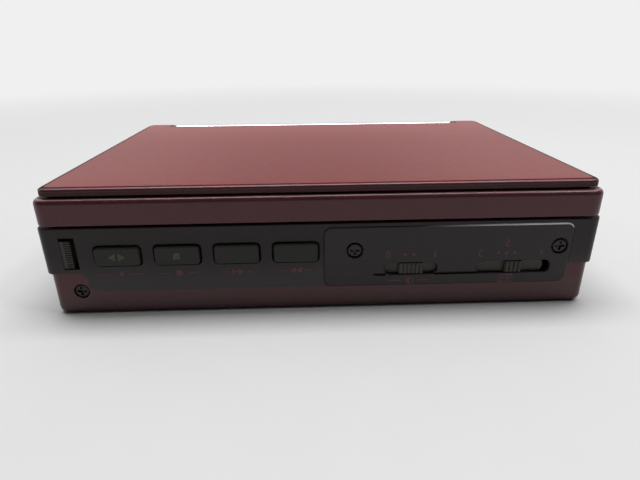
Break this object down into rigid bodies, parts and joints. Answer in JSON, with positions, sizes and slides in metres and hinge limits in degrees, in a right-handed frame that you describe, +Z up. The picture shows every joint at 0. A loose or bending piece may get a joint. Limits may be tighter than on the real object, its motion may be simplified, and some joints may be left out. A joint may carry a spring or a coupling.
{
  "type": "portable cassette player",
  "caption": "Flat portable cassette player with a hinged lid, a control panel of keys and slide switches along one long side, and a belt-driven two-way tape deck inside.",
  "frame": {"origin": "middle of the footprint, on the surface that the player lies on", "axes": "+X along the front to the right, +Y away from the control panel towards the hinge, +Z up to the lid"},
  "size_m": [0.1224, 0.0846, 0.0295],
  "materials": {
    "burgundy_case": "satin",
    "burgundy_plate": "fine textured satin",
    "glossy_strip": "polished",
    "black_panel": "satin",
    "black_overlay": "satin",
    "key_black": "satin",
    "knob_black": "satin",
    "dark_screw": "blackened",
    "chassis_steel": "zinc plated",
    "polished_steel": "ground",
    "deck_black": "matte",
    "wheel_brass": "turned",
    "gear_white": "satin",
    "spindle_black": "satin",
    "roller_rubber": "matte",
    "head_metal": "polished",
    "guide_plastic": "satin",
    "motor_can": "plated",
    "board_green": "solder mask",
    "board_black": "moulded",
    "spring_metal": "nickel plated"
  },
  "bodies": {
    "base": {"back_shell": "burgundy_case", "control_panel": "black_panel", "switch_plate": "black_overlay", "panel_screws": "dark_screw", "case_screws": "dark_screw", "chassis_plate": "chassis_steel", "deck_cover": "deck_black", "deck_screws": "dark_screw", "locating_pins": "deck_black", "flywheel_bracket": "chassis_steel", "left_bush": "wheel_brass", "right_bush": "wheel_brass", "motor": "motor_can", "drive_belt": "roller_rubber", "main_board": "board_green", "board_parts": "board_black", "tone_switch": "board_black", "mode_switch": "board_black", "earphone_jack": "board_black", "power_jack": "board_black", "volume_pot": "board_black", "battery_contacts": "spring_metal", "battery_spring": "spring_metal", "key_springs": "spring_metal"},
    "lid": {"lid_frame": "burgundy_case", "lid_plate": "burgundy_plate", "lid_strip": "glossy_strip", "lid_liner": "deck_black", "cassette_springs": "spring_metal", "hinge_pins": "polished_steel"},
    "play_key": {"play_key": "key_black"},
    "stop_key": {"stop_key": "key_black"},
    "rewind_key": {"rewind_key": "key_black"},
    "forward_key": {"forward_key": "key_black"},
    "open_slider": {"open_slider": "knob_black"},
    "tone_knob": {"tone_knob": "knob_black"},
    "mode_knob": {"mode_knob": "knob_black"},
    "battery_door": {"battery_door": "burgundy_case"},
    "volume_wheel": {"volume_wheel": "knob_black"},
    "motor_pulley": {"motor_pulley": "wheel_brass"},
    "belt_roller": {"belt_roller": "gear_white"},
    "left_flywheel": {"left_flywheel": "wheel_brass", "left_capstan": "polished_steel", "left_pinion": "gear_white"},
    "left_idler": {"left_idler": "gear_white"},
    "left_spindle": {"left_spindle": "spindle_black"},
    "left_pinch_arm": {"left_pinch_arm": "chassis_steel"},
    "left_pinch_roller": {"left_pinch_roller": "roller_rubber"},
    "right_flywheel": {"right_flywheel": "wheel_brass", "right_capstan": "polished_steel", "right_pinion": "gear_white"},
    "right_idler": {"right_idler": "gear_white"},
    "right_spindle": {"right_spindle": "spindle_black"},
    "right_pinch_arm": {"right_pinch_arm": "chassis_steel"},
    "right_pinch_roller": {"right_pinch_roller": "roller_rubber"},
    "head": {"head_base": "chassis_steel", "playback_head": "head_metal", "tape_guides": "guide_plastic"}
  },
  "joints": [
    {"name": "lid_hinge", "type": "hinge", "parent": "base", "child": "lid", "pos_m": [0, 0.0401, 0.0233], "axis": [-1, 0, 0], "range_deg": [0, 88]},
    {"name": "play_key_press", "type": "slide", "parent": "base", "child": "play_key", "axis": [0, 1, 0], "range_m": [0, 0.0025], "stiffness_N_per_m": 200, "springref_m": -0.002, "deforming": ["key_springs"]},
    {"name": "stop_key_press", "type": "slide", "parent": "base", "child": "stop_key", "axis": [0, 1, 0], "range_m": [0, 0.0025], "stiffness_N_per_m": 200, "springref_m": -0.002, "deforming": ["key_springs"]},
    {"name": "rewind_key_press", "type": "slide", "parent": "base", "child": "rewind_key", "axis": [0, 1, 0], "range_m": [0, 0.0025], "stiffness_N_per_m": 200, "springref_m": -0.002, "deforming": ["key_springs"]},
    {"name": "forward_key_press", "type": "slide", "parent": "base", "child": "forward_key", "axis": [0, 1, 0], "range_m": [0, 0.0025], "stiffness_N_per_m": 200, "springref_m": -0.002, "deforming": ["key_springs"]},
    {"name": "open_slide", "type": "slide", "parent": "base", "child": "open_slider", "axis": [1, 0, 0], "range_m": [0, 0.0011], "stiffness_N_per_m": 200, "springref_m": -0.002},
    {"name": "tone_slide", "type": "slide", "parent": "base", "child": "tone_knob", "axis": [1, 0, 0], "range_m": [-0.0023, 0.0023]},
    {"name": "mode_slide", "type": "slide", "parent": "base", "child": "mode_knob", "axis": [1, 0, 0], "range_m": [-0.003, 0.003]},
    {"name": "battery_door_slide", "type": "slide", "parent": "base", "child": "battery_door", "axis": [0, 1, 0], "range_m": [0, 0.004]},
    {"name": "volume_turn", "type": "hinge", "parent": "base", "child": "volume_wheel", "pos_m": [0.0545, -0.009, 0.0143], "axis": [0, 0, 1], "range_deg": [-140, 140]},
    {"name": "right_flywheel_spin", "type": "hinge", "parent": "base", "child": "right_flywheel", "pos_m": [0.033, -0.022, 0.0125], "axis": [0, 0, 1], "continuous": true},
    {"name": "left_flywheel_spin", "type": "hinge", "parent": "base", "child": "left_flywheel", "pos_m": [-0.033, -0.022, 0.0125], "axis": [0, 0, 1], "continuous": true},
    {"name": "motor_spin", "type": "hinge", "parent": "base", "child": "motor_pulley", "pos_m": [0.0455, 0.0085, 0.005], "axis": [0, 0, 1], "continuous": true},
    {"name": "belt_roller_spin", "type": "hinge", "parent": "base", "child": "belt_roller", "pos_m": [0.0515, -0.0085, 0.005], "axis": [0, 0, 1], "continuous": true},
    {"name": "right_idler_spin", "type": "hinge", "parent": "base", "child": "right_idler", "pos_m": [0.03077, -0.01015, 0.0125], "axis": [0, 0, 1], "continuous": true},
    {"name": "left_idler_spin", "type": "hinge", "parent": "base", "child": "left_idler", "pos_m": [-0.03413, -0.00999, 0.0125], "axis": [0, 0, 1], "continuous": true},
    {"name": "right_spindle_spin", "type": "hinge", "parent": "base", "child": "right_spindle", "pos_m": [0.02125, 0.0059, 0.0125], "axis": [0, 0, 1], "continuous": true},
    {"name": "left_spindle_spin", "type": "hinge", "parent": "base", "child": "left_spindle", "pos_m": [-0.02125, 0.0059, 0.0125], "axis": [0, 0, 1], "continuous": true},
    {"name": "head_slide", "type": "slide", "parent": "base", "child": "head", "axis": [0, 1, 0], "range_m": [0, 0.0025]},
    {"name": "right_arm_swing", "type": "hinge", "parent": "base", "child": "right_pinch_arm", "pos_m": [0.047, -0.031, 0.0145], "axis": [0, 0, -1], "range_deg": [0, 24], "stiffness_Nm_per_rad": 0.004, "springref_deg": -11.46},
    {"name": "left_arm_swing", "type": "hinge", "parent": "base", "child": "left_pinch_arm", "pos_m": [-0.047, -0.031, 0.0145], "axis": [0, 0, 1], "range_deg": [0, 24], "stiffness_Nm_per_rad": 0.004, "springref_deg": -11.46},
    {"name": "right_roller_spin", "type": "hinge", "parent": "right_pinch_arm", "child": "right_pinch_roller", "pos_m": [0.033, -0.0334, 0.0214], "axis": [0, 0, 1], "continuous": true},
    {"name": "left_roller_spin", "type": "hinge", "parent": "left_pinch_arm", "child": "left_pinch_roller", "pos_m": [-0.033, -0.0334, 0.0214], "axis": [0, 0, 1], "continuous": true}
  ],
  "couplings": [
    {"joint": "left_flywheel_spin", "follows": "right_flywheel_spin", "ratio": -1},
    {"joint": "motor_spin", "follows": "right_flywheel_spin", "ratio": -5.1176},
    {"joint": "belt_roller_spin", "follows": "right_flywheel_spin", "ratio": -5.1176},
    {"joint": "right_idler_spin", "follows": "right_flywheel_spin", "ratio": -0.33333},
    {"joint": "right_spindle_spin", "follows": "right_flywheel_spin", "ratio": 0.3125},
    {"joint": "left_idler_spin", "follows": "right_flywheel_spin", "ratio": 0.33333},
    {"joint": "head_slide", "follows": "play_key_press", "ratio": 1}
  ]
}
